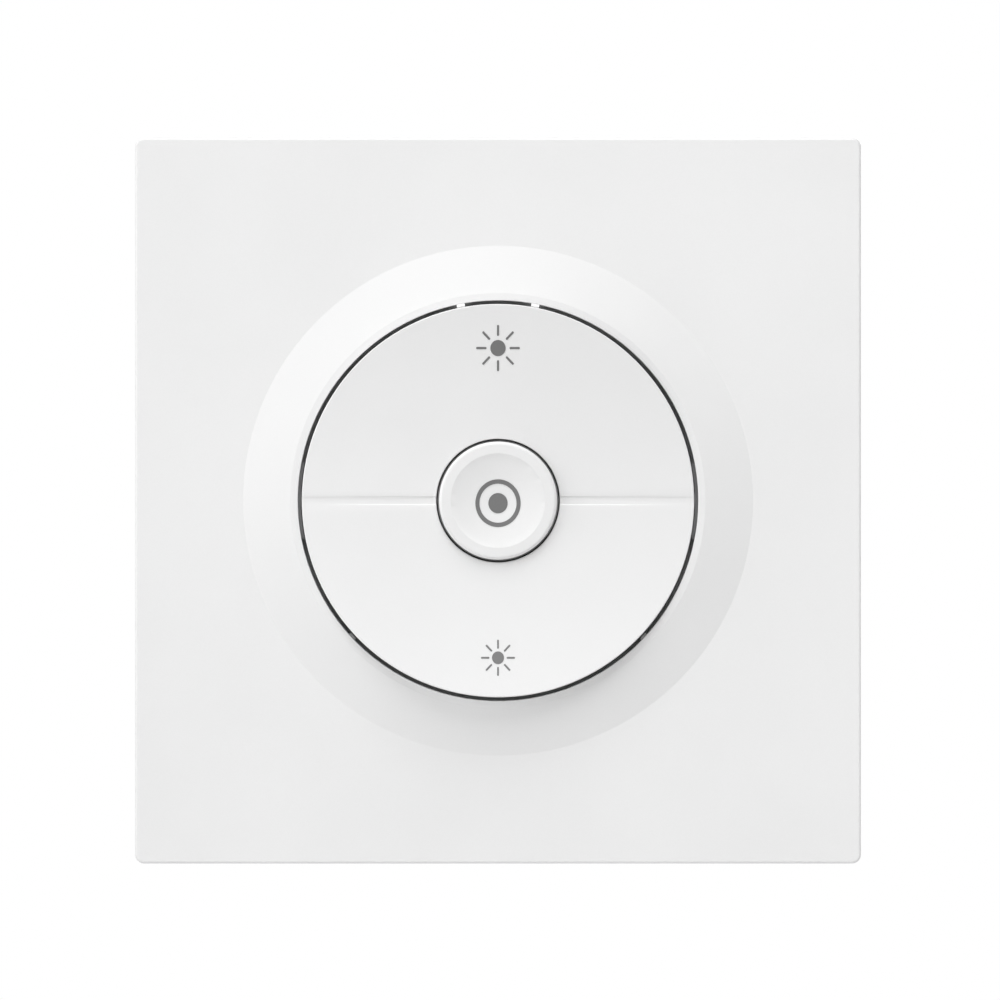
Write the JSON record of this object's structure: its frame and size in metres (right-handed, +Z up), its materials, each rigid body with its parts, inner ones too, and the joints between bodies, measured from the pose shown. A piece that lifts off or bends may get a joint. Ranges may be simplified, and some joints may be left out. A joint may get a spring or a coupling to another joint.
{
  "type": "smart dimmer switch",
  "caption": "Square flush wall dimmer with a raised ring, a dished round rocker key, a centre push button and a rear housing with push-in terminals.",
  "frame": {"origin": "centre of the steel frame's back face, where the wall plane meets the centre line of the key", "axes": "-Y out of the wall towards the room, +Z up, +X to the right as seen from the room"},
  "size_m": [0.08, 0.0446, 0.08],
  "materials": {
    "plate_white": "satin",
    "key_white": "satin",
    "housing_front": "matte",
    "housing_rear": "matte",
    "clear_plastic": "clear",
    "silicone": "matte",
    "zinc_steel": "satin",
    "spring_steel": "satin",
    "circuit_board": "semi-gloss",
    "black_plastic": "matte",
    "led_white": "gloss",
    "sheet_aluminium": "satin",
    "ferrite": "matte",
    "copper_wire": "enamelled",
    "bus_copper": "satin",
    "capacitor_yellow": "semi-gloss",
    "capacitor_sleeve": "semi-gloss",
    "varistor_blue": "gloss",
    "fuse_white": "gloss",
    "coil_tape": "satin",
    "release_orange": "satin"
  },
  "bodies": {
    "base": {"cover_plate": "plate_white", "front_housing": "housing_front", "rear_housing": "housing_rear", "terminal_cover": "housing_rear", "light_guide": "clear_plastic", "keypad_mat": "silicone", "support_frame": "zinc_steel", "housing_screws": "zinc_steel", "heat_sink_screws": "zinc_steel", "radio_shield": "zinc_steel", "clamp_spring_1": "spring_steel", "clamp_spring_2": "spring_steel", "clamp_spring_3": "spring_steel", "clamp_spring_4": "spring_steel", "control_board": "circuit_board", "power_board": "circuit_board", "radio_board": "circuit_board", "control_chip": "black_plastic", "header_socket": "black_plastic", "pin_header": "black_plastic", "power_transistor_left": "black_plastic", "power_transistor_right": "black_plastic", "status_led": "led_white", "heat_sink": "sheet_aluminium", "choke_core": "ferrite", "transformer_core": "ferrite", "choke_winding": "copper_wire", "bus_bar_1": "bus_copper", "bus_bar_2": "bus_copper", "bus_bar_3": "bus_copper", "bus_bar_4": "bus_copper", "film_capacitor": "capacitor_yellow", "bulk_capacitor": "capacitor_sleeve", "varistor": "varistor_blue", "fuse": "fuse_white", "transformer_coil": "coil_tape"},
    "rocker": {"rocker_key": "key_white"},
    "button": {"centre_button": "key_white"},
    "release_1": {"release_button_1": "release_orange"},
    "release_2": {"release_button_2": "release_orange"},
    "release_3": {"release_button_3": "release_orange"},
    "release_4": {"release_button_4": "release_orange"}
  },
  "joints": [
    {"name": "rocker_tilt", "type": "hinge", "parent": "base", "child": "rocker", "pos_m": [0, -0.0073, 0], "axis": [1, 0, 0], "range_deg": [-2, 2], "stiffness_Nm_per_rad": 0.6, "deforming": ["keypad_mat"]},
    {"name": "button_press", "type": "slide", "parent": "base", "child": "button", "axis": [0, 1, 0], "range_m": [0, 0.0008], "stiffness_N_per_m": 2500, "springref_m": -0.0002, "deforming": ["keypad_mat"]},
    {"name": "release_1_press", "type": "slide", "parent": "base", "child": "release_1", "axis": [0, -1, 0], "range_m": [0, 0.0014], "stiffness_N_per_m": 3000, "springref_m": -0.0002, "deforming": ["clamp_spring_1"]},
    {"name": "release_2_press", "type": "slide", "parent": "base", "child": "release_2", "axis": [0, -1, 0], "range_m": [0, 0.0014], "stiffness_N_per_m": 3000, "springref_m": -0.0002, "deforming": ["clamp_spring_2"]},
    {"name": "release_3_press", "type": "slide", "parent": "base", "child": "release_3", "axis": [0, -1, 0], "range_m": [0, 0.0014], "stiffness_N_per_m": 3000, "springref_m": -0.0002, "deforming": ["clamp_spring_3"]},
    {"name": "release_4_press", "type": "slide", "parent": "base", "child": "release_4", "axis": [0, -1, 0], "range_m": [0, 0.0014], "stiffness_N_per_m": 3000, "springref_m": -0.0002, "deforming": ["clamp_spring_4"]}
  ]
}
